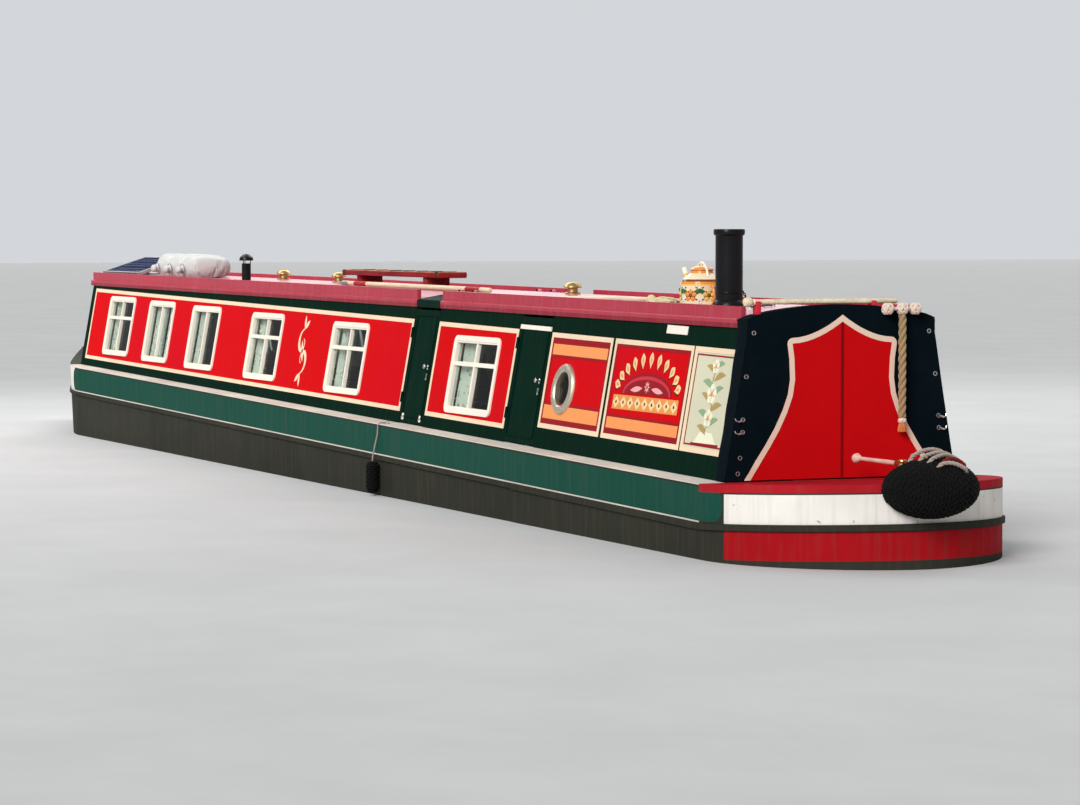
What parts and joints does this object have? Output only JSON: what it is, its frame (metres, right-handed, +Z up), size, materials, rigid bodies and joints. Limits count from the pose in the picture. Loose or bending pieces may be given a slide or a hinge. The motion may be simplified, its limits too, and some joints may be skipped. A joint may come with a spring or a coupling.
{
  "type": "narrowboat",
  "caption": "Traditional steel canal narrowboat with a round counter stern, long cabin, bow well deck, opening doors and hatches, turning rudder and propeller, and roof goods.",
  "frame": {"origin": "centre of the bottom of the whole boat's box, on the underside of the baseplate", "axes": "+X forward to the bow, +Y to port, +Z up"},
  "size_m": [19.1, 2.2636, 2.665],
  "materials": {
    "hull_black": "satin bitumen black with white, red and green bands",
    "cabin_red": "gloss coach enamel, red panels in cream lines",
    "cabin_green": "gloss coach enamel, dark green",
    "roof_red": "satin red oxide roof paint",
    "black_iron": "gloss black with brass bands",
    "brass": "weathered polish",
    "bronze": "cast bronze",
    "plank_wood": "painted and worn softwood",
    "cream_wood": "gloss cream paint on turned wood",
    "mop_cotton": "cotton strands on a painted handle",
    "painted_ware": "hand painted tinware",
    "sack_white": "creased woven plastic sacking",
    "solar_glass": "glazed cells in an aluminium frame",
    "canvas_black": "proofed canvas with a red sewn panel",
    "cotton_rope": "three strand cotton rope",
    "tarred_rope": "knotted tarred rope",
    "engine_grey": "painted casting",
    "window_white": "white coated frame",
    "window_glass": "clear glazing over a dark interior",
    "galvanised": "galvanised steel chain and fittings"
  },
  "bodies": {
    "hull": {"baseplate": "hull_black", "hull_side_port": "hull_black", "hull_side_starboard": "hull_black", "stern_hull": "hull_black", "bow_hull": "hull_black", "cabin_side_port_aft": "cabin_red", "cabin_side_port_mid": "cabin_red", "cabin_side_port_fore": "cabin_red", "cabin_side_starboard_aft": "cabin_red", "cabin_side_starboard_mid": "cabin_red", "cabin_side_starboard_fore": "cabin_red", "rear_bulkhead": "cabin_green", "front_bulkhead": "cabin_green", "roof_aft": "roof_red", "roof_centre": "roof_red", "roof_fore": "roof_red", "chimney": "black_iron", "saloon_flue": "black_iron", "mushroom_vent_1": "brass", "mushroom_vent_2": "brass", "mushroom_vent_3": "brass", "gang_plank": "plank_wood", "boat_shaft": "cream_wood", "mop": "mop_cotton", "water_can": "painted_ware", "fuel_sacks": "sack_white", "solar_panel": "solar_glass", "stern_cover": "canvas_black", "cover_pole": "cream_wood", "rope_knots": "cotton_rope", "hanging_rope": "cotton_rope", "rope_tassel": "cotton_rope", "stern_fender": "tarred_rope", "bow_fender": "tarred_rope", "side_fender_port": "tarred_rope", "side_fender_starboard": "tarred_rope", "engine": "engine_grey"},
    "propeller": {"propeller": "bronze"},
    "steering": {"rudder": "hull_black", "tiller": "cream_wood"},
    "front_door_port": {"front_door_port": "cabin_green"},
    "front_door_starboard": {"front_door_starboard": "cabin_green"},
    "side_hatch_port_aft": {"side_hatch_port_aft": "cabin_green"},
    "side_hatch_port_mid": {"side_hatch_port_mid": "cabin_green"},
    "side_hatch_starboard_aft": {"side_hatch_starboard_aft": "cabin_green"},
    "side_hatch_starboard_mid": {"side_hatch_starboard_mid": "cabin_green"},
    "roof_flap_port": {"roof_flap_port": "cabin_green"},
    "roof_flap_starboard": {"roof_flap_starboard": "cabin_green"}
  },
  "joints": [
    {"name": "propeller_spin", "type": "hinge", "parent": "hull", "child": "propeller", "pos_m": [-8.545, 0, 0.28], "axis": [1, 0, 0], "continuous": true},
    {"name": "rudder_swing", "type": "hinge", "parent": "hull", "child": "steering", "pos_m": [-8.92, 0, 0.8], "axis": [0, 0, 1], "range_deg": [-40, 40]},
    {"name": "front_door_port_swing", "type": "hinge", "parent": "hull", "child": "front_door_port", "pos_m": [7.112, 0.362, 1.4], "axis": [0, 0, 1], "range_deg": [0, 165]},
    {"name": "front_door_starboard_swing", "type": "hinge", "parent": "hull", "child": "front_door_starboard", "pos_m": [7.112, -0.362, 1.4], "axis": [0, 0, -1], "range_deg": [0, 165]},
    {"name": "side_hatch_port_aft_swing", "type": "hinge", "parent": "hull", "child": "side_hatch_port_aft", "pos_m": [-4.393, 0.7569, 1.5728], "axis": [0, 0.1772, -0.9842], "range_deg": [0, 165]},
    {"name": "side_hatch_port_mid_swing", "type": "hinge", "parent": "hull", "child": "side_hatch_port_mid", "pos_m": [-2.243, 0.7589, 1.5927], "axis": [0, 0.1772, -0.9842], "range_deg": [0, 165]},
    {"name": "side_hatch_starboard_aft_swing", "type": "hinge", "parent": "hull", "child": "side_hatch_starboard_aft", "pos_m": [-4.393, -0.7569, 1.5728], "axis": [0, 0.1772, 0.9842], "range_deg": [0, 165]},
    {"name": "side_hatch_starboard_mid_swing", "type": "hinge", "parent": "hull", "child": "side_hatch_starboard_mid", "pos_m": [-2.243, -0.7589, 1.5927], "axis": [0, 0.1772, 0.9842], "range_deg": [0, 165]},
    {"name": "roof_flap_port_lift", "type": "hinge", "parent": "hull", "child": "roof_flap_port", "pos_m": [-2.495, 0.3363, 2.1764], "axis": [1, 0, 0], "range_deg": [0, 110]},
    {"name": "roof_flap_starboard_lift", "type": "hinge", "parent": "hull", "child": "roof_flap_starboard", "pos_m": [-2.495, -0.3363, 2.1764], "axis": [-1, 0, 0], "range_deg": [0, 110]}
  ]
}
